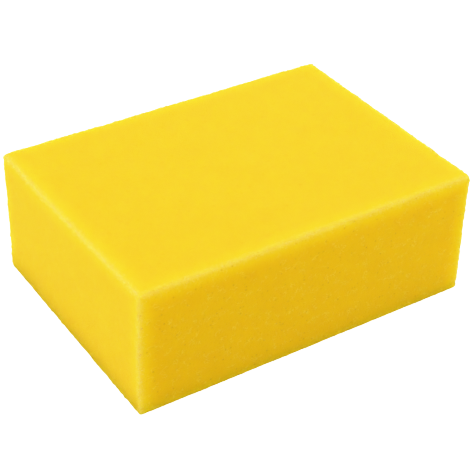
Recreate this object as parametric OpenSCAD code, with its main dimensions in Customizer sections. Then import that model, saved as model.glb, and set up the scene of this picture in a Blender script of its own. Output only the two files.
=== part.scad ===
// Cleaning sponge: one block of fine open-cell foam, cut square, its edges softened.
//
// Frame: +X along the block's length, +Y across its width and +Z up. The origin is the
// middle of the bottom face, so the block stands on Z = 0. All sizes are in millimetres.

/* [Block] */
// Length of the block, along X
block_length = 150; // [90:1:220]
// Width of the block, along Y
block_width = 109; // [60:1:160]
// Thickness of the block, along Z
block_height = 55; // [20:1:90]

/* [Edges] */
// Radius of the four upright corners, seen from above
corner_radius = 2.2; // [2:0.1:9]
// Radius of the edges that run round the top and bottom faces
edge_radius = 1.8; // [0.4:0.1:2]

/* [Smoothness] */
// Facets in a full circle, for the preview
facets = 64; // [24:8:128]

/* [Hidden] */
$fn = facets;

// From the middle of the block to the axis of an upright corner, along X and along Y.
corner_x = block_length / 2 - corner_radius;
corner_y = block_width / 2 - corner_radius;

// Section across the block, standing on the X axis: a rectangle whose corners have the
// edge radius. It is two crossed rectangles with a disc in each corner. A section just
// two edge radii wide has nothing between its discs, so the upright rectangle is left out.
module block_section(across) {
    inset = across / 2 - edge_radius;
    translate([-across / 2, edge_radius])
        square([across, block_height - 2 * edge_radius]);
    if (inset > 0)
        translate([-inset, 0])
            square([2 * inset, block_height]);
    for (side = [-1, 1], z = [edge_radius, block_height - edge_radius])
        translate([side * inset, z])
            circle(r = edge_radius);
}

// The section carried along X for run, centred on the origin.
module straight_along_x(across, run) {
    rotate([90, 0, 90])
        linear_extrude(height = run, center = true)
            block_section(across);
}

// One upright corner: half of a section as wide as the corner's own diameter, turned
// about the corner's axis, so that the top and bottom edges run round it unbroken.
module upright_corner() {
    rotate_extrude()
        intersection() {
            block_section(2 * corner_radius);
            square([corner_radius, block_height]);
        }
}

// The foam block. Two straight runs cross in a plus, and each stops short of the ends by
// the corner radius. The four upright corners fill what the plus leaves.
module foam_block() {
    color("gold")
        union() {
            straight_along_x(block_width, 2 * corner_x);
            rotate([0, 0, 90])
                straight_along_x(block_length, 2 * corner_y);
            for (x = [-corner_x, corner_x], y = [-corner_y, corner_y])
                translate([x, y, 0])
                    upright_corner();
        }
}

foam_block();
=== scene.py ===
# %% [markdown]
# # A yellow cleaning sponge
#
# This file dresses a finished CAD part, so that it looks like the real thing. The part is one
# block of soft polyurethane foam, the kind that is cut from a huge foamed loaf with a band
# knife. The lesson goes from the shape to the uneven skin and the struts that are torn out of
# its edges, then to their materials, and last to the small studio that the block is seen in.
#
# The first cell loads the CAD part. Its box gives the block's own size, so that the looks can
# never drift away from the construction.

import itertools
import math

import bpy
import numpy as np
from mathutils import Matrix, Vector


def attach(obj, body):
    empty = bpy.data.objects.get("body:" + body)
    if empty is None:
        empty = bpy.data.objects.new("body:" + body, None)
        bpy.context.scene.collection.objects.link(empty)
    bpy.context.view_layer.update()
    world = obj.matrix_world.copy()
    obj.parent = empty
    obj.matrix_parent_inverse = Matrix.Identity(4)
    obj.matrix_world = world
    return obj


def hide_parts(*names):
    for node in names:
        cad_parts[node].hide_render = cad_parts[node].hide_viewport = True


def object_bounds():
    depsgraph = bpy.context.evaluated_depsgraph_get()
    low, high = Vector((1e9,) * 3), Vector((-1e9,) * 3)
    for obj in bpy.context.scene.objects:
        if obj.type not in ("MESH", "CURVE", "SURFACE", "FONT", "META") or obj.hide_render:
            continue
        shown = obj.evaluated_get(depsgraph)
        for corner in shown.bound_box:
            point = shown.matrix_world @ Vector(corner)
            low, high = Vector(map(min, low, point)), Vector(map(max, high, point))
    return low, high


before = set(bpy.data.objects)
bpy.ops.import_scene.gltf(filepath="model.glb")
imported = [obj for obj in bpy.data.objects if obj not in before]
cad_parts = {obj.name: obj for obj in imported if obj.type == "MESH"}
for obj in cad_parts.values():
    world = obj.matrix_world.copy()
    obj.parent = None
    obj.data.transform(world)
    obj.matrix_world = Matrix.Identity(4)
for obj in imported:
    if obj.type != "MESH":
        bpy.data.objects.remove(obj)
cad_low, cad_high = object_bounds()
block_low = np.array(cad_low)
block_high = np.array(cad_high)
block_size = block_high - block_low
MM = 0.001
print("block, mm:", np.round(block_size / MM, 2))

# %% [markdown]
# ## The shape of the cut block
#
# A foam block has flat faces, because a taut blade cut them, but its edges are never sharp:
# the open cells along an edge are crushed and frayed, and the eye sees a soft round of about
# two millimetres. A cube with a Bevel modifier would give that round, but its flat faces would
# stay single polygons with nothing to carry the unevenness of the foam.
#
# So the block is made as a lattice instead. Three sets of lines cross it, along X, Y and Z,
# and only the lattice points on the outside are kept. The lines lie close together in the
# rounded edges and spread out over the faces.

# %% Lattice lines along one axis
EDGE_ROUND = 1.8 * MM       # radius of the edges round the top face
FOOT_ROUND = 1.0 * MM       # radius of the edges round the bottom face, pressed on the table
CORNER_ROUND = 1.8 * MM     # radius of the upright corners in the upper half, seen from above
FOOT_CORNER = 1.2 * MM      # and at the foot, where no hand has worn them
ROUND_STEPS = 4             # steps in half of a rounded edge, which is 45 degrees
FACE_SPACING = 0.84 * MM    # mean distance between lines on the faces
CROWDING = 0.18             # how much wider than the mean the lines lie amid a face; at its
                            # edges they lie closer than the mean by twice as much


def lattice_lines(size, margin):
    """Line positions from 0 to size, as an array.

    In the margin at each end the positions are margin times (1 - tan(angle)), for equal steps
    of the angle from 45 degrees to 0, so that they cut the rounded edge into equal arcs.
    Between the margins, with t from -1 to 1, they are the middle plus half the length times
    ((1 + c) t - c t^3): evenly spread for c = 0, and closer to the ends as c grows.
    """
    angles = np.linspace(math.pi / 4, 0, ROUND_STEPS + 1)
    start = margin * (1 - np.tan(angles))
    half = size / 2 - margin
    count = max(4, round(2 * half / FACE_SPACING))
    t = np.linspace(-1, 1, count + 1)
    middle = size / 2 + half * ((1 + CROWDING) * t - CROWDING * t ** 3)
    return np.concatenate([start[:-1], middle, (size - start[:-1])[::-1]])


lines = [lattice_lines(size, EDGE_ROUND) for size in block_size]
print("lattice lines along x, y, z:", [len(a) for a in lines])

# %% [markdown]
# Six flat grids cover the outside of the lattice, and neighbours share the points along their
# common edges. A point is known by its three line numbers. Packing these into one number
# and asking numpy for the unique ones welds the grids without any search for doubles.

# %% Weld six grids into one closed skin
counts = np.array([len(a) for a in lines])


def side_grid(axis, at_high_end):
    """Line numbers of the four corners of each quad of one side, as an array (quads, 4, 3).

    The side lies across axis. The other two axes are taken in the cyclic order x, y, z, so
    that the quads of the high side turn anticlockwise seen from outside. The low side is the
    same grid with each quad's corners taken backwards.
    """
    u_axis, v_axis = (axis + 1) % 3, (axis + 2) % 3
    u, v = np.meshgrid(np.arange(counts[u_axis] - 1), np.arange(counts[v_axis] - 1), indexing="ij")
    u, v = u.ravel(), v.ravel()
    corners = np.zeros((len(u), 4, 3), int)
    for n, (du, dv) in enumerate([(0, 0), (1, 0), (1, 1), (0, 1)]):
        corners[:, n, u_axis] = u + du
        corners[:, n, v_axis] = v + dv
    corners[:, :, axis] = counts[axis] - 1 if at_high_end else 0
    return corners if at_high_end else corners[:, ::-1]


sides = [(axis, high) for axis in range(3) for high in (False, True)]
quad_side = []
quad_lines = []
for number, (axis, high) in enumerate(sides):
    grid = side_grid(axis, high)
    quad_lines.append(grid)
    quad_side.append(np.full(len(grid), number))
quad_lines = np.concatenate(quad_lines)
quad_side = np.concatenate(quad_side)

packed = (quad_lines[..., 0] * counts[1] + quad_lines[..., 1]) * counts[2] + quad_lines[..., 2]
unique_packed, quads = np.unique(packed, return_inverse=True)
quads = quads.reshape(packed.shape)
line_z = unique_packed % counts[2]
line_y = unique_packed // counts[2] % counts[1]
line_x = unique_packed // counts[2] // counts[1]
boxed = np.stack([lines[0][line_x], lines[1][line_y], lines[2][line_z]], axis=1) + block_low
print("points:", len(boxed), " quads:", len(quads), " triangles:", 2 * len(quads))

# %% [markdown]
# The skin still has the sharp edges of a box. Rounding it is one formula: find the nearest
# point of a smaller block inside, and place the skin at one edge radius from it, in the
# direction of the sharp point. Over the faces this changes nothing. At an edge it draws an
# arc, and at a corner a piece of a ball.

# %% Round the edges
half_size = block_size / 2
centre = (block_low + block_high) / 2


def rounded(points):
    """Places points of the sharp box on the rounded block. Returns the places and the normals.

    The inner block is the box shrunk by the edge radius, its upright corners rounded by what
    the corner radius has over the edge radius. Seen from above, its nearest point is the
    nearest point of a core rectangle plus a step towards the point, no longer than that
    difference. The normal is the direction from the nearest point, and the place is the
    nearest point plus the edge radius times the normal. The upper half has the top edges'
    radius and the lower half the foot's: they agree on the upright faces between. The corner
    radius grows evenly from the foot to the middle, and stays the same above it.
    """
    local = points - centre
    edge_round = np.where(local[:, 2:] > 0, EDGE_ROUND, FOOT_ROUND)
    share_up = np.clip(local[:, 2:] / half_size[2] + 1, 0, 1)
    corner_round = FOOT_CORNER + (CORNER_ROUND - FOOT_CORNER) * share_up
    core = half_size[:2] - corner_round
    nearest = np.empty_like(local)
    nearest[:, :2] = np.clip(local[:, :2], -core, core)
    step = local[:, :2] - nearest[:, :2]
    length = np.linalg.norm(step, axis=1, keepdims=True)
    over_edge = corner_round - edge_round
    nearest[:, :2] += step * np.minimum(1, over_edge / np.maximum(length, 1e-12))
    inner_z = half_size[2:] - edge_round
    nearest[:, 2:] = np.clip(local[:, 2:], -inner_z, inner_z)
    normal = local - nearest
    normal /= np.linalg.norm(normal, axis=1, keepdims=True)
    return nearest + edge_round * normal + centre, normal


smooth_places, outward = rounded(boxed)
print("rounded block, mm:", np.round(np.ptp(smooth_places, axis=0) / MM, 3))

# %% [markdown]
# ## The unevenness of the foam
#
# No face of a real sponge is a true plane. The blade drags the soft foam a little, which
# leaves long shallow waves, and the cut opens larger bubbles here and there as small pits.
# Along the edges the skin of cells is broken, so that the crest wanders by a few tenths of a
# millimetre. The finest cells are left to the material.
#
# The waves are a sum of sines in random directions. The pits come from cellular noise: each
# cell of a coarse grid holds one random seed point, and the distance to the nearest one
# makes round hollows. A Displace modifier with a cloud texture could do much the same, but
# numpy shows the whole formula, and gives the same result in every run.

# %% Long waves and small pits
WAVE_SHORTEST = 9 * MM
WAVE_LONGEST = 45 * MM
WAVE_COUNT = 24
WAVE_HEIGHT = 0.05 * MM     # the size of the long waves, as a standard deviation
PIT_SPACING = 3.2 * MM      # distance between the larger opened bubbles
PIT_REACH = 1 / 2.2         # how far a pit goes from its seed, in pit spacings
PIT_DEPTH = 0.13 * MM
CREST_SPACING = 1.6 * MM    # distance between the frayed tufts of cells along an edge
CREST_HEIGHT = 0.52 * MM
draw = np.random.default_rng(27)


def long_waves(points):
    """A smooth random height for each point: the sum of many sines with random directions,
    lengths and phases, times the root of 2 / their count, so that its standard deviation is
    about one. The lengths are drawn so that each octave has as many as the next."""
    direction = draw.normal(size=(WAVE_COUNT, 3))
    direction /= np.linalg.norm(direction, axis=1, keepdims=True)
    length = np.exp(draw.uniform(np.log(WAVE_SHORTEST), np.log(WAVE_LONGEST), WAVE_COUNT))
    phase = draw.uniform(0, 2 * math.pi, WAVE_COUNT)
    angle = points @ (direction * (2 * math.pi / length)[:, None]).T + phase
    return np.sin(angle).sum(axis=1) * math.sqrt(2 / WAVE_COUNT)


SEED_TABLE = 32             # the random seed points repeat after this many cells
seed_points = draw.uniform(0, 1, (SEED_TABLE, SEED_TABLE, SEED_TABLE, 3))
seed_sizes = draw.uniform(0, 1, (SEED_TABLE, SEED_TABLE, SEED_TABLE))


def nearest_bubble(points, spacing):
    """Distance to the nearest seed point, in cells, and that seed's own random number.

    The space is cut into cubes of the given spacing with one seed point in each. The nearest
    seed is nearly always in the point's own cube or in one of the 26 round it, so that the
    least of 27 distances is kept.
    """
    scaled = points / spacing
    cube = np.floor(scaled).astype(int)
    best = np.full(len(points), np.inf)
    number = np.zeros(len(points))
    for step in itertools.product((-1, 0, 1), repeat=3):
        other = cube + step
        wrapped = tuple((other % SEED_TABLE).T)
        distance = np.linalg.norm(other + seed_points[wrapped] - scaled, axis=1)
        closer = distance < best
        best = np.where(closer, distance, best)
        number = np.where(closer, seed_sizes[wrapped], number)
    return best, number


def pits(points):
    """A depth from 0 to 1: a round hollow at each seed, which fades out evenly to nothing at
    the pit's reach. It is as deep as the seed's own number squared, which leaves most of them
    faint and a few clear."""
    distance, number = nearest_bubble(points, PIT_SPACING)
    return np.clip(1 - distance / PIT_REACH, 0, 1) * number ** 2


print("pits across the length:", round(block_size[0] / PIT_SPACING))

# %% [markdown]
# Much depends on how far a point is from an edge: the frayed crest, and later the pale line
# and the glow. For each point of the sharp box, the distances to the nearest side along X, Y
# and Z are sorted. The smallest is zero, because the point lies on a side, and the middle one
# is the distance to the nearest edge.
#
# Two numbers go on to the material. One is the distance to the nearest edge that light can
# come in through: the edges on the table are in their own shade, so they count as a few
# millimetres further off. The other is how much a face was cut across the rise of the foam,
# which is all the way on the long sides, a little on the ends, and not at all on the top.

# %% Distances to the edges
FOOT_SHADE = 5 * MM         # edges on the table glow no more than the skin this far from one
END_CUT = 0.25              # how coarse the cut of the two ends is, next to the long sides

to_side = half_size - np.abs(boxed - centre)
edge_distance = np.sort(to_side, axis=1)[:, 1]
to_light = to_side.copy()
to_light[:, 2] += np.where(boxed[:, 2] < centre[2], FOOT_SHADE, 0)
lit_distance = np.sort(to_light, axis=1)[:, 1]
cut_share = np.abs(outward) @ np.array([END_CUT, 1.0, 0.0])
print("furthest point from an edge, mm:", round(edge_distance.max() / MM, 1))

# %% [markdown]
# Now the skin moves along its normals by the waves, the pits and the tufts of the crest. The
# corners are worn back a little. Near the table the relief fades out, because a soft block
# settles flat on what it lies on.
#
# A band knife hardly ever cuts quite square either. At the top the front left corner stands
# in by most of a millimetre, and a bell curve spreads that fault into the faces round it. A
# Lattice modifier could lean the corner in, but the bell is one line and leaves every other
# corner where it was.

# %% Move the skin
FRAY_WIDTH = 1.6 * MM       # how far the frayed band reaches from an edge
TUFT_REACH = 0.62           # a tuft stands proud this far from its seed, in tuft spacings
TUFT_LEAST = 0.4            # the strength of the faintest tufts; the boldest have one more
REST_BAND = 0.8 * MM        # below this height the relief fades out, to none on the table
CORNER_WEAR = 0.1 * MM      # how far the corners are worn back
CORNER_REACH = 3.0 * MM     # how far from a corner the wear goes
SQUARE_FAULT = 0.85 * MM    # how far the front left corner stands in at the top
FAULT_REACH = np.array([30, 45, 16]) * MM   # how far that spreads along X, Y and Z

frayed = np.exp(-(edge_distance / FRAY_WIDTH) ** 2)
tuft_distance, tuft_number = nearest_bubble(smooth_places, CREST_SPACING)
crest = (TUFT_REACH - tuft_distance) * (TUFT_LEAST + tuft_number)
height = WAVE_HEIGHT * long_waves(smooth_places)
height -= PIT_DEPTH * pits(smooth_places) * (1 - frayed)
height += CREST_HEIGHT * crest * frayed
corner_distance = np.linalg.norm(to_side, axis=1)
height -= CORNER_WEAR * np.exp(-(corner_distance / CORNER_REACH) ** 2)
height *= np.clip((smooth_places[:, 2] - block_low[2]) / REST_BAND, 0, 1)

places = smooth_places + outward * height[:, None]
front_left_top = np.array([block_low[0], block_low[1], block_high[2]])
near_fault = np.exp(-(((boxed - front_left_top) / FAULT_REACH) ** 2).sum(axis=1))
places[:, 0] += SQUARE_FAULT * near_fault
print("relief, mm: from", round(height.min() / MM, 3), "to", round(height.max() / MM, 3))

# %% [markdown]
# The mesh also gets a flat net, as if the skin were cut along its edges and unfolded. A game
# engine or a viewer needs such a map to lay a picture on the block. Each side has a
# rectangle of its own, at one common scale, with a gap between neighbours.

# %% Make the mesh and its net
NET_GAP = 4 * MM


def net_corner(side_number):
    """Lower left corner of a side's rectangle in the net, in metres. The two large sides
    stand in one column, and the four narrow ones in the next."""
    length, width, thickness = block_size
    column = length + 2 * NET_GAP
    rows = {
        4: (NET_GAP, NET_GAP),
        5: (NET_GAP, width + 2 * NET_GAP),
        2: (column, NET_GAP),
        3: (column, thickness + 2 * NET_GAP),
        0: (column, 2 * thickness + 3 * NET_GAP),
        1: (column, 3 * thickness + 4 * NET_GAP),
    }
    return rows[side_number]


net_scale = 1 / (2 * block_size[0] + 3 * NET_GAP)
net = np.zeros((len(quads), 4, 2))
for number, (axis, high) in enumerate(sides):
    members = quad_side == number
    across, up = [(1, 2), (0, 2), (0, 1)][axis]
    corner = net_corner(number)
    net[members, :, 0] = corner[0] + lines[across][quad_lines[members][..., across]]
    net[members, :, 1] = corner[1] + lines[up][quad_lines[members][..., up]]
net *= net_scale

skin = bpy.data.meshes.new("foam_skin")
skin.vertices.add(len(places))
skin.vertices.foreach_set("co", places.astype(np.float32).ravel())
skin.loops.add(quads.size)
skin.loops.foreach_set("vertex_index", quads.astype(np.int32).ravel())
skin.polygons.add(len(quads))
skin.polygons.foreach_set("loop_start", np.arange(0, quads.size, 4, dtype=np.int32))
skin.polygons.foreach_set("use_smooth", np.ones(len(quads), bool))
skin.update(calc_edges=True)
skin.uv_layers.new(name="OFBake").data.foreach_set("uv", net.astype(np.float32).ravel())
edge_layer = skin.attributes.new("edge_distance", "FLOAT", "POINT")
edge_layer.data.foreach_set("value", (lit_distance / MM).astype(np.float32))
cut_layer = skin.attributes.new("cut_share", "FLOAT", "POINT")
cut_layer.data.foreach_set("value", cut_share.astype(np.float32))
skin.validate()

foam = bpy.data.objects.new("cut_foam_block", skin)
bpy.context.scene.collection.objects.link(foam)
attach(foam, "root")
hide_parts("foam_block")
print("mesh:", len(skin.vertices), "points,", len(skin.polygons), "quads")

# %% [markdown]
# ## The torn struts
#
# Along a cut edge the knife leaves broken struts standing out of the foam, short pale hairs
# under a millimetre long. From a hand's width away nobody sees one of them, but together
# they blur the outline. A hair system could make them, but a renderer and an exporter both
# do better with plain mesh, so that each strut here is a slim closed pyramid with four faces.
#
# A strut starts at a random place of the frayed band. A quad is drawn by chance, in
# proportion to its area and to how frayed it is, and a place inside it is the mean of its
# corners, weighted by two random numbers. That puts the root on the skin. No strut starts so
# low that it could reach the table.

# %% Where the struts stand
STRUT_COUNT = 14000
STRUT_BAND = 1.3 * MM       # how far from an edge most of them stand
STRUT_LENGTH = 0.85 * MM    # the longest ones
TUFT_SHARE = 0.7            # how much of a strut's length depends on its tuft
SHORTEST_PART = 0.35        # what a broken strut keeps of its length, at the least
STRUT_RADIUS = 0.05 * MM
STRUT_SINK = 0.15 * MM      # how deep the foot of a strut goes under the skin
STRUT_TILT = 0.8            # how far they lean away from straight out
strut_draw = np.random.default_rng(5)

corner_places = places[quads]
diagonals = corner_places[:, 2] - corner_places[:, 0], corner_places[:, 3] - corner_places[:, 1]
quad_area = np.linalg.norm(np.cross(*diagonals), axis=1) / 2
chance = quad_area * np.exp(-(lit_distance[quads].mean(axis=1) / STRUT_BAND) ** 2)
chance[corner_places[..., 2].mean(axis=1) < block_low[2] + 2 * STRUT_LENGTH] = 0
chosen = strut_draw.choice(len(quads), STRUT_COUNT, p=chance / chance.sum())
u, v = strut_draw.uniform(size=(2, STRUT_COUNT))
weights = np.stack([(1 - u) * (1 - v), u * (1 - v), u * v, (1 - u) * v], axis=1)[..., None]
roots = (corner_places[chosen] * weights).sum(axis=1)
straight_out = (outward[quads[chosen]] * weights).sum(axis=1)
print("struts:", STRUT_COUNT, " roots from z =", round(roots[:, 2].min() / MM, 2), "mm")

# %% [markdown]
# The foot of each pyramid is a triangle across the strut's own direction, sunk a little under
# the skin, and its tip lies one length along that direction. The lengths follow the tufts of
# the crest, so that the longer struts stand together, as they do where a cell wall tore.

# %% Make the struts


def unit(vectors):
    """The vectors divided by their own lengths."""
    return vectors / np.linalg.norm(vectors, axis=1, keepdims=True)


along = unit(unit(straight_out) + STRUT_TILT * unit(strut_draw.normal(size=(STRUT_COUNT, 3))))
across_a = unit(np.cross(along, unit(strut_draw.normal(size=(STRUT_COUNT, 3)))))
across_b = np.cross(along, across_a)
tuft = nearest_bubble(roots, CREST_SPACING)[1]
kept_part = strut_draw.uniform(SHORTEST_PART, 1.0, STRUT_COUNT)
strut_length = STRUT_LENGTH * (1 - TUFT_SHARE + TUFT_SHARE * tuft) * kept_part
feet = roots - STRUT_SINK * along
strut_points = np.empty((STRUT_COUNT, 4, 3))
for corner in range(3):
    turn = 2 * math.pi * corner / 3
    sideways = math.cos(turn) * across_a + math.sin(turn) * across_b
    strut_points[:, corner] = feet + STRUT_RADIUS * sideways
strut_points[:, 3] = roots + strut_length[:, None] * along
strut_faces = np.array([(0, 1, 3), (1, 2, 3), (2, 0, 3), (0, 2, 1)])
strut_faces = (4 * np.arange(STRUT_COUNT)[:, None, None] + strut_faces).reshape(-1, 3)

# In the net each strut has a small square of its own, on a grid of squares.
net_side = math.ceil(math.sqrt(STRUT_COUNT))
square = np.stack([np.arange(STRUT_COUNT) % net_side, np.arange(STRUT_COUNT) // net_side], axis=1)
in_square = np.array([(0.1, 0.1), (0.9, 0.1), (0.5, 0.8), (0.5, 0.35)])
strut_net = ((square[:, None] + in_square) / net_side).reshape(-1, 2)[strut_faces]

fringe = bpy.data.meshes.new("torn_struts")
fringe.vertices.add(strut_points.size // 3)
fringe.vertices.foreach_set("co", strut_points.astype(np.float32).ravel())
fringe.loops.add(strut_faces.size)
fringe.loops.foreach_set("vertex_index", strut_faces.astype(np.int32).ravel())
fringe.polygons.add(len(strut_faces))
fringe.polygons.foreach_set("loop_start", np.arange(0, strut_faces.size, 3, dtype=np.int32))
fringe.update(calc_edges=True)
fringe.uv_layers.new(name="OFBake").data.foreach_set("uv", strut_net.astype(np.float32).ravel())
fringe.validate()
struts = bpy.data.objects.new("torn_struts", fringe)
bpy.context.scene.collection.objects.link(struts)
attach(struts, "root")
print("longest strut, mm:", round(strut_length.max() / MM, 2), " faces:", len(fringe.polygons))

# %% [markdown]
# ## The foam as a material
#
# The real material is flexible polyurethane foam, foamed with water and coloured yellow in
# the mass. A knife cut lays bare a sponge of round cells under a millimetre wide: thin bright
# struts round small dark hollows. Light goes several millimetres into it and comes out
# again, which hides most of the cells, softens every shadow, and lets the thin edges glow.
# There is hardly any gloss.
#
# Three small helpers come first. Colours are written as the hex codes that a paint program
# shows, and turned to the linear values that the renderer counts in.

# %% Helpers for materials


def linear(code):
    """Linear RGBA of an sRGB hex colour: each channel c of 0 to 1 becomes c / 12.92 up to
    0.04045, and ((c + 0.055) / 1.055) to the power 2.4 above."""
    c = np.array([int(code[n:n + 2], 16) for n in (1, 3, 5)]) / 255
    low, high = c / 12.92, ((c + 0.055) / 1.055) ** 2.4
    return (*np.where(c <= 0.04045, low, high).tolist(), 1.0)


def new_material(name):
    """An empty node material. Returns the material and its node tree."""
    material = bpy.data.materials.new(name)
    material.use_nodes = True
    material.node_tree.nodes.clear()
    return material, material.node_tree


def add(tree, kind, settings=(), **sockets):
    """Adds a node. settings are its own properties. Each socket is named with _ for a space,
    or by inN for number N, counted from 0. It takes a value, a node's output, or a whole node,
    which means the first output that the node has in use."""
    node = tree.nodes.new(kind)
    for key, value in dict(settings).items():
        setattr(node, key, value)
    for key, value in sockets.items():
        by_number = key[:2] == "in" and key[2:].isdigit()
        socket = node.inputs[int(key[2:]) if by_number else key.replace("_", " ")]
        if isinstance(value, bpy.types.Node):
            value = next(output for output in value.outputs if output.enabled)
        if isinstance(value, bpy.types.NodeSocket):
            tree.links.new(value, socket)
        else:
            socket.default_value = value
    return node


print("pure white is", linear("#FFFFFF"))

# %% [markdown]
# The cells are a Voronoi pattern in space, so that the six faces are true cuts through the
# same foam. Its distance to the nearest wall gives the struts, and its random colour gives
# each cell its own depth, because the knife cuts some cells near the rim and some through
# the middle. A picture of foam, wrapped round the block, would show a seam at every edge.
#
# Map Range nodes turn each pattern into a share from 0 to 1, and Math nodes join the shares.
# Their settings are kept in short names, because they come up again and again.

# %% The cells of the foam
CELL = 0.85 * MM            # a fine household foam: about 30 cells to the inch
STRUT_FADE = 0.02, 0.30     # from the middle of a strut to its open hollow, in cells
BIG_CELL = 2.3 * MM         # a few bubbles that ran together
BIG_KEPT = 0.72             # only big cells with a number above this are open
BIG_FADE = 0.10, 0.45       # from the flat of a big hollow to its rim, in big cells
SHALLOWEST = 0.35           # the depth of a cell cut near its rim, when the deepest have 1
SMOOTH = {"interpolation_type": "SMOOTHSTEP"}
PLUS = {"operation": "ADD"}
MINUS = {"operation": "SUBTRACT"}
TIMES = {"operation": "MULTIPLY"}
foam_material, tree = new_material("cut_polyurethane_foam")
place = add(tree, "ShaderNodeTexCoord").outputs["Object"]

walls = add(tree, "ShaderNodeTexVoronoi", {"feature": "DISTANCE_TO_EDGE"},
            Vector=place, Scale=1 / CELL)
strut = add(tree, "ShaderNodeMapRange", SMOOTH,
            Value=walls, From_Min=STRUT_FADE[0], From_Max=STRUT_FADE[1], To_Min=1.0, To_Max=0.0)
cells = add(tree, "ShaderNodeTexVoronoi", Vector=place, Scale=1 / CELL)
cell_number = add(tree, "ShaderNodeSeparateColor", Color=cells.outputs["Color"]).outputs["Red"]
depth = add(tree, "ShaderNodeMapRange", Value=cell_number, To_Min=SHALLOWEST)
between_struts = add(tree, "ShaderNodeMath", MINUS, in0=1.0, in1=strut)
hollow = add(tree, "ShaderNodeMath", TIMES, in0=between_struts, in1=depth)

big_cells = add(tree, "ShaderNodeTexVoronoi", Vector=place, Scale=1 / BIG_CELL)
big_number = add(tree, "ShaderNodeSeparateColor",
                 Color=big_cells.outputs["Color"]).outputs["Green"]
big_chosen = add(tree, "ShaderNodeMapRange", Value=big_number, From_Min=BIG_KEPT)
big_round = add(tree, "ShaderNodeMapRange", SMOOTH,
                Value=big_cells, From_Min=BIG_FADE[0], From_Max=BIG_FADE[1], To_Min=1.0, To_Max=0.0)
big_hollow = add(tree, "ShaderNodeMath", TIMES, in0=big_chosen, in1=big_round)
openness = add(tree, "ShaderNodeMath", PLUS, in0=hollow, in1=big_hollow)
print("cells across the length:", round(block_size[0] / CELL))

# %% [markdown]
# The long sides are cut across the rise of the foam, where the knife opens the cells most.
# They carry two more marks that the split top hardly has: torn pores, which are small dark
# pits, and bright curls, which are struts that were pulled out and catch the light. The pores
# are Voronoi cells, of which only a few are kept. A curl is a stretch of the line where a
# noise passes through its middle value, because such lines wander as loose fibres do.

# %% Torn pores and bright curls
PORE_SPACING = 1.45 * MM
PORE_KEPT = 0.74            # only pores with a number above this are torn open
PORE_FADE = 0.08, 0.40      # from the flat of a pore to its rim, in pore spacings
CURL_SIZE = 1.5 * MM        # how tightly the loose struts curl
CURL_WIDTH = 0.05           # how far from its middle value the noise still draws a curl
CURL_PATCH = 3.0 * MM       # how far apart the curls lie
PATCH_FADE = 0.52, 0.66     # where the noise of the patches lets the curls through
MARKS_ON_TOP = 0.12         # how strong the marks are on the top, when the long sides have 1
cut_share = add(tree, "ShaderNodeAttribute", {"attribute_name": "cut_share"}).outputs["Fac"]
marked = add(tree, "ShaderNodeMapRange", Value=cut_share, To_Min=MARKS_ON_TOP)

pore_cells = add(tree, "ShaderNodeTexVoronoi", Vector=place, Scale=1 / PORE_SPACING)
pore_number = add(tree, "ShaderNodeSeparateColor",
                  Color=pore_cells.outputs["Color"]).outputs["Blue"]
pore_chosen = add(tree, "ShaderNodeMapRange", Value=pore_number, From_Min=PORE_KEPT)
pore_round = add(tree, "ShaderNodeMapRange", SMOOTH, Value=pore_cells,
                 From_Min=PORE_FADE[0], From_Max=PORE_FADE[1], To_Min=1.0, To_Max=0.0)
pore = add(tree, "ShaderNodeMath", TIMES, in0=pore_chosen, in1=pore_round)
pore = add(tree, "ShaderNodeMath", TIMES, in0=pore, in1=marked)

curl_noise = add(tree, "ShaderNodeTexNoise", Vector=place, Scale=1 / CURL_SIZE, Detail=1.0)
from_middle = add(tree, "ShaderNodeMath", MINUS, in0=curl_noise, in1=0.5)
from_middle = add(tree, "ShaderNodeMath", {"operation": "ABSOLUTE"}, in0=from_middle)
curl_line = add(tree, "ShaderNodeMapRange", SMOOTH,
                Value=from_middle, From_Max=CURL_WIDTH, To_Min=1.0, To_Max=0.0)
patch_noise = add(tree, "ShaderNodeTexNoise", Vector=place, Scale=1 / CURL_PATCH, Detail=0.0)
curl_place = add(tree, "ShaderNodeMapRange", SMOOTH,
                 Value=patch_noise, From_Min=PATCH_FADE[0], From_Max=PATCH_FADE[1])
curl = add(tree, "ShaderNodeMath", TIMES, in0=curl_line, in1=curl_place)
curl = add(tree, "ShaderNodeMath", TIMES, in0=curl, in1=marked)
print("pores across the length:", round(block_size[0] / PORE_SPACING))
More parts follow.
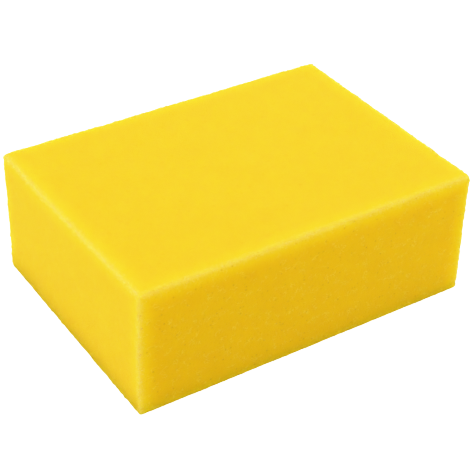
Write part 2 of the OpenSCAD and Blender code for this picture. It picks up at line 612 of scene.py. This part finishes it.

# %% [markdown]
# The colour goes from a pale strut to a deep hollow. Light that has bounced about inside a
# hollow has met the dye more often, so that hollows are more orange and not only darker.
# A cloudy noise a centimetre across stands for the uneven foaming.
#
# Towards an edge the light has less foam to pass through and comes out less filtered. The
# eye sees a lemon glow about a centimetre wide, and on the torn cells of the edge itself a
# cream line, partly their own pale colour and partly a painted sheen. On the split top and
# the ends the struts lie flatter and throw back a little light before it meets the dye, and a
# faint whitish bloom, a painted sheen, stands for that. The foot of the two ends and the
# underside are painted darker, as painted shade for the light that the table keeps from them.
#
# Each of these is a layer of paint: a colour, and the share of it at each place. First the
# colours, and the most that each layer may cover.

# %% The colours of the foam
STRUT_COLOUR = linear("#ECBE04")
HOLLOW_COLOUR = linear("#E7B500")
HOLLOW_COVER = 0.7
CLOUD_COLOUR = linear("#E8B602")
CLOUD_COVER = 0.35
CLOUD_SIZE = 11 * MM
CLOUD_FADE = 0.35, 0.70     # where the noise of the clouds begins to show, and shows fully
GLOW_COLOUR = linear("#F4D504")
GLOW_COVER = 0.42, 0.75     # on the top, and on the long sides
GLOW_BAND = 9.0             # millimetres from an edge to where its lemon glow ends
# the cream line of the edges: the torn cells' own pale colour, and a painted sheen on top
CREAM_AND_SHEEN_COLOUR = linear("#F2CC8A")
CREAM_AND_SHEEN_COVER = 0.52           # twice what the very edge has: the fade starts as far outside it
PALE_BAND = 3.8             # millimetres from an edge to where its cream line ends
# a whitish painted sheen on the top and the ends
SHEEN_BLOOM_COLOUR = linear("#ECBE66")
SHEEN_BLOOM_COVER = 0.075         # on the top; the long sides have none
PORE_COLOUR = linear("#C08C00")
PORE_COVER = 0.5
CURL_COLOUR = linear("#FBE04A")
CURL_COVER = 0.42
# painted shade at the foot of the ends and underneath
PAINTED_FOOT_SHADE_COLOUR = linear("#B59D02")
PAINTED_FOOT_SHADE_COVER = 0.66           # at the foot of the ends and underneath; the long sides have none
PAINTED_FOOT_SHADE_BAND = 15 * MM         # how far up the ends it goes
print("struts", np.round(STRUT_COLOUR[:3], 3), "hollows", np.round(HOLLOW_COLOUR[:3], 3))

# %% [markdown]
# Each layer needs its share. Those of the glow and of the pale line come from the distance to
# the edge that was kept on the mesh. Then Mix nodes lay the layers over each other in the
# order of the list, so that the pores and the curls lie on top.

# %% Lay the colours over each other
from_edge = add(tree, "ShaderNodeAttribute", {"attribute_name": "edge_distance"}).outputs["Fac"]
hollow_share = add(tree, "ShaderNodeMath", TIMES, in0=openness, in1=HOLLOW_COVER)
cloud = add(tree, "ShaderNodeTexNoise", Vector=place, Scale=1 / CLOUD_SIZE, Detail=3.0)
cloud_share = add(tree, "ShaderNodeMapRange",
                  Value=cloud, From_Min=CLOUD_FADE[0], From_Max=CLOUD_FADE[1], To_Max=CLOUD_COVER)
near_edge = add(tree, "ShaderNodeMapRange", SMOOTH,
                Value=from_edge, From_Max=GLOW_BAND, To_Min=1.0, To_Max=0.0)
glow_cover = add(tree, "ShaderNodeMapRange",
                 Value=cut_share, To_Min=GLOW_COVER[0], To_Max=GLOW_COVER[1])
glow_share = add(tree, "ShaderNodeMath", TIMES, in0=near_edge, in1=glow_cover)
cream_and_sheen_share = add(tree, "ShaderNodeMapRange", {"interpolation_type": "SMOOTHERSTEP"},
                 Value=from_edge, From_Min=-PALE_BAND, From_Max=PALE_BAND,
                 To_Min=CREAM_AND_SHEEN_COVER, To_Max=0.0)
sheen_bloom_share = add(tree, "ShaderNodeMapRange", Value=cut_share, To_Min=SHEEN_BLOOM_COVER, To_Max=0.0)
# The painted shade: darker towards the table on the two ends, and all over the underside.
above_foot = add(tree, "ShaderNodeSeparateXYZ", Vector=place).outputs["Z"]
near_foot = add(tree, "ShaderNodeMapRange",
                Value=above_foot, From_Max=PAINTED_FOOT_SHADE_BAND, To_Min=1.0, To_Max=0.0)
near_foot = add(tree, "ShaderNodeMath", {"operation": "POWER"}, in0=near_foot, in1=2.0)
painted_shade_cover = add(tree, "ShaderNodeMapRange",
                 Value=cut_share, From_Min=END_CUT, To_Min=PAINTED_FOOT_SHADE_COVER, To_Max=0.0)
painted_shade_share = add(tree, "ShaderNodeMath", TIMES, in0=near_foot, in1=painted_shade_cover)
pore_share = add(tree, "ShaderNodeMath", TIMES, in0=pore, in1=PORE_COVER)
curl_share = add(tree, "ShaderNodeMath", TIMES, in0=curl, in1=CURL_COVER)

layers = [
    (hollow_share, HOLLOW_COLOUR),
    (cloud_share, CLOUD_COLOUR),
    (glow_share, GLOW_COLOUR),
    (cream_and_sheen_share, CREAM_AND_SHEEN_COLOUR),
    (sheen_bloom_share, SHEEN_BLOOM_COLOUR),
    (painted_shade_share, PAINTED_FOOT_SHADE_COLOUR),
    (pore_share, PORE_COLOUR),
    (curl_share, CURL_COLOUR),
]
foam_colour = STRUT_COLOUR
for share, layer_colour in layers:
    foam_colour = add(tree, "ShaderNodeMix", {"data_type": "RGBA"},
                      in0=share, in6=foam_colour, in7=layer_colour)
print("layers of colour:", len(layers))

# %% [markdown]
# The bump is made from the same cells, so that light and colour agree, and it is half as
# strong on the top as on the long sides. The shader is Principled with most of its light
# going under the surface. Red light travels furthest in yellow foam, green a little less, and
# blue is soaked up at once. Foam reflects far less at its surface than solid plastic does,
# because the surface is mostly holes, so that the specular level is low, and a little sheen
# stands for the fine struts seen edge on.

# %% The shader
CELL_RELIEF = 0.22 * MM
GRAIN_SIZE = CELL / 2       # the fuzz on the struts
TOP_RELIEF = 0.5            # how strong the bump is on the top, when the long sides have 1
LIGHT_REACH = 9.0 * MM      # how far light spreads inside the foam
grain = add(tree, "ShaderNodeTexNoise", Vector=place, Scale=1 / GRAIN_SIZE, Detail=2.0)
raised = add(tree, "ShaderNodeMath", PLUS, in0=grain, in1=curl)
sunk = add(tree, "ShaderNodeMath", PLUS, in0=openness, in1=pore)
relief = add(tree, "ShaderNodeMath", MINUS, in0=raised, in1=sunk)
relief_cover = add(tree, "ShaderNodeMapRange", Value=cut_share, To_Min=TOP_RELIEF)
relief = add(tree, "ShaderNodeMath", TIMES, in0=relief, in1=relief_cover)
bump = add(tree, "ShaderNodeBump", Strength=0.7, Distance=CELL_RELIEF, Height=relief)
roughness = add(tree, "ShaderNodeMapRange", Value=openness, To_Min=0.72, To_Max=0.95)
shader = add(tree, "ShaderNodeBsdfPrincipled", {"subsurface_method": "RANDOM_WALK"},
             Base_Color=foam_colour, Roughness=roughness, Normal=bump,
             Subsurface_Weight=0.8, Subsurface_Scale=LIGHT_REACH,
             Subsurface_Radius=(1.0, 0.75, 0.06),
             Specular_IOR_Level=0.03,
             Sheen_Weight=0.11, Sheen_Roughness=0.5, Sheen_Tint=linear("#FFEBA6"))
add(tree, "ShaderNodeOutputMaterial", Surface=shader)
skin.materials.append(foam_material)
print("foam material has", len(tree.nodes), "nodes")

# %% [markdown]
# A single strut is a thread of clear yellow polyurethane, far too thin to look deep in
# colour, because light goes straight through it. A Translucent shader would follow that, but
# on hairs a tenth of a millimetre thick nobody could tell it from pale matt paint, and paint
# also bakes and exports cleanly. So the struts are painted, and their colour wanders from
# cream to yellow along the edges.

# %% The struts' material
TORN_CREAM = linear("#FFEE9C")
TORN_YELLOW = linear("#FFE060")
TORN_FADE = 0.3, 0.7        # where the noise begins to turn cream to yellow, and has done so
strut_material, strut_tree = new_material("torn_polyurethane_struts")
strut_place = add(strut_tree, "ShaderNodeTexCoord").outputs["Object"]
strut_noise = add(strut_tree, "ShaderNodeTexNoise", Vector=strut_place, Scale=1 / CREST_SPACING)
strut_share = add(strut_tree, "ShaderNodeMapRange",
                  Value=strut_noise, From_Min=TORN_FADE[0], From_Max=TORN_FADE[1])
strut_colour = add(strut_tree, "ShaderNodeMix", {"data_type": "RGBA"},
                   in0=strut_share, in6=TORN_CREAM, in7=TORN_YELLOW)
strut_shader = add(strut_tree, "ShaderNodeBsdfPrincipled",
                   Base_Color=strut_colour, Roughness=0.8, Specular_IOR_Level=0.1)
add(strut_tree, "ShaderNodeOutputMaterial", Surface=strut_shader)
fringe.materials.append(strut_material)
print("struts go from", np.round(TORN_CREAM[:3], 2), "to", np.round(TORN_YELLOW[:3], 2))

# %% [markdown]
# ## The studio
#
# The floor is a large sheet of matt white paper, as under goods in a catalogue, and it throws
# light back on to the sides. Such pictures are exposed until the paper is pure white and its
# shadows are gone. More light would do that, but it would bleach the foam as well. So the
# paper is lifted instead: what the camera sees of it is mixed with a glow of its own, and the
# Light Path node keeps that glow from lighting the block.

# %% Floor
WHITE_LEVEL = 1.6           # this much light comes out as pure white
FLOOR_REACH = 6.0
FLOOR_DROP = 0.1 * MM       # just below the block, so that the two never share a plane
PAPER_LIFT = 0.7            # the share of its own glow in what the camera sees of the paper
PAPER_GLOW = 2.3            # that glow: times the lift it is just over the white level
corner_signs = np.array([(-1, -1), (1, -1), (1, 1), (-1, 1)])
floor_corners = np.column_stack([FLOOR_REACH * corner_signs, np.full(4, -FLOOR_DROP)])
floor_mesh = bpy.data.meshes.new("paper_sweep")
floor_mesh.from_pydata(floor_corners.tolist(), [], [(0, 1, 2, 3)])
floor = bpy.data.objects.new("paper_sweep", floor_mesh)
bpy.context.scene.collection.objects.link(floor)

paper_material, paper_tree = new_material("matt_white_paper")
paper_shader = add(paper_tree, "ShaderNodeBsdfPrincipled",
                   Base_Color=linear("#FFFFFF"), Roughness=0.9, Specular_IOR_Level=0.1)
paper_glow = add(paper_tree, "ShaderNodeEmission", Strength=PAPER_GLOW)
paper_seen = add(paper_tree, "ShaderNodeLightPath").outputs["Is Camera Ray"]
paper_lift = add(paper_tree, "ShaderNodeMath", TIMES, in0=paper_seen, in1=PAPER_LIFT)
paper_mix = add(paper_tree, "ShaderNodeMixShader", in0=paper_lift, in1=paper_shader, in2=paper_glow)
add(paper_tree, "ShaderNodeOutputMaterial", Surface=paper_mix)
floor_mesh.materials.append(paper_material)
print("floor", 2 * FLOOR_REACH, "m across")

# %% [markdown]
# Four soft panels light the block, all of them white, so that every colour comes from the
# foam. The roof panel lights the top and the low left panel the left end. A small weak one on
# the right keeps the long side from going dull, and one behind lights the faces turned away.
# Each panel is placed by its direction and distance from the block, and aimed at it.

# %% Lights


def soft_panel(name, azimuth, elevation, distance, size, power):
    """A square area light. Azimuth 0 stands in front of the block, on the -Y side, and 90 on
    its +X side. The light's -Z axis points to the block's middle."""
    a, e = math.radians(azimuth), math.radians(elevation)
    away = np.array([math.sin(a) * math.cos(e), -math.cos(a) * math.cos(e), math.sin(e)])
    right = np.array([math.cos(a), math.sin(a), 0.0])
    turn = np.stack([right, np.cross(away, right), away], axis=1)
    lamp = bpy.data.lights.new(name, "AREA")
    lamp.shape = "SQUARE"
    lamp.size = size
    lamp.energy = power
    panel = bpy.data.objects.new(name, lamp)
    panel_place = (away * distance + centre).tolist()
    panel.matrix_world = Matrix.LocRotScale(panel_place, Matrix(turn.tolist()), None)
    panel.visible_camera = False
    bpy.context.scene.collection.objects.link(panel)
    return panel


panels = [
    soft_panel("roof_panel", azimuth=0, elevation=89, distance=1.6, size=1.6, power=24.5),
    soft_panel("left_panel", azimuth=-90, elevation=9, distance=2.0, size=1.2, power=21.8),
    soft_panel("rear_panel", azimuth=150, elevation=30, distance=2.2, size=1.4, power=19.5),
    soft_panel("right_panel", azimuth=45, elevation=12, distance=1.8, size=0.8, power=8.4),
]
print("panels:", [panel.name for panel in panels])

# %% [markdown]
# An even glow from all round fills the shadows. It is the world's own light, and it is weak,
# but a studio's walls look white beyond the paper. So the world is weak for every ray except
# the camera's.

# %% The studio's glow
ROOM_GLOW = 0.24
world = bpy.data.worlds.new("studio_glow")
world.use_nodes = True
background = world.node_tree.nodes["Background"]
background.inputs["Color"].default_value = (1, 1, 1, 1)
wall_seen = add(world.node_tree, "ShaderNodeLightPath").outputs["Is Camera Ray"]
room_light = add(world.node_tree, "ShaderNodeMapRange",
                 Value=wall_seen, To_Min=ROOM_GLOW, To_Max=WHITE_LEVEL)
world.node_tree.links.new(room_light.outputs["Result"], background.inputs["Strength"])
bpy.context.scene.world = world
print("room glow", ROOM_GLOW, " walls", WHITE_LEVEL)

# %% [markdown]
# Photographic film doesn't stop dead at white. Its curve bends over, so that a strong yellow
# stays yellow and soft where a plain cut-off would burn out one channel after another. The
# Standard view has that cut-off, and the other views also dull the colours, so a curve is laid
# over the Standard one. It ends at the white level that the paper was lifted to.

# %% The film's curve
KNEE = 0.75                 # up to here the curve is straight
SHOULDER = 0.22             # how slowly it bends over above the knee
view = bpy.context.scene.view_settings
view.view_transform = "Standard"
view.use_curve_mapping = True
film = view.curve_mapping
film.white_level = (WHITE_LEVEL, WHITE_LEVEL, WHITE_LEVEL)

# Up to the knee what goes in comes out. Above it, what comes out is the knee plus the rest of
# the way to 1, times one minus e to the power of minus (light - knee) / shoulder.
light_in = np.concatenate([[KNEE / 2], np.linspace(KNEE, WHITE_LEVEL, 7)[:-1]])
bent = KNEE + (1 - KNEE) * (1 - np.exp(-(light_in - KNEE) / SHOULDER))
light_out = np.where(light_in <= KNEE, light_in, bent)
for x, y in zip(light_in / WHITE_LEVEL, light_out):
    film.curves[3].points.new(x, y)
film.update()
print("film curve:", np.round(light_in, 2), "to", np.round(light_out, 2))

# %% [markdown]
# ## The camera
#
# The camera stands well back with a long lens, as for catalogue pictures, so that the block
# is hardly narrowed by distance. It looks down on the front left corner.

# %% Camera
CAMERA_AZIMUTH = -33.48
CAMERA_ELEVATION = 35.35
CAMERA_ROLL = 1.37
CAMERA_DISTANCE = 548.3 * MM
CAMERA_TARGET = np.array([-4.74, -9.99, 27.5]) * MM
LENS_MM = 104.27
SENSOR_MM = 36.0


def camera_axes(azimuth, elevation, roll):
    """Right, up and back axes of a camera, as the columns of a matrix. Back points from the
    target to the camera, right is level, up is their cross product, and roll turns right and
    up about back."""
    a, e, r = (math.radians(v) for v in (azimuth, elevation, roll))
    back = np.array([math.sin(a) * math.cos(e), -math.cos(a) * math.cos(e), math.sin(e)])
    right = np.array([math.cos(a), math.sin(a), 0.0])
    up = np.cross(back, right)
    turned_right = right * math.cos(r) + up * math.sin(r)
    turned_up = -right * math.sin(r) + up * math.cos(r)
    return np.stack([turned_right, turned_up, back], axis=1)


axes = camera_axes(CAMERA_AZIMUTH, CAMERA_ELEVATION, CAMERA_ROLL)
lens = bpy.data.cameras.new("catalogue_camera")
lens.lens = LENS_MM
lens.sensor_width = SENSOR_MM
lens.clip_start = 0.01
lens.clip_end = 50.0
camera = bpy.data.objects.new("catalogue_camera", lens)
camera_place = CAMERA_TARGET + axes[:, 2] * CAMERA_DISTANCE
camera.matrix_world = Matrix.LocRotScale(camera_place.tolist(), Matrix(axes.tolist()), None)
bpy.context.scene.collection.objects.link(camera)
bpy.context.scene.camera = camera
print("camera at, mm:", np.round(camera_place / MM, 1))
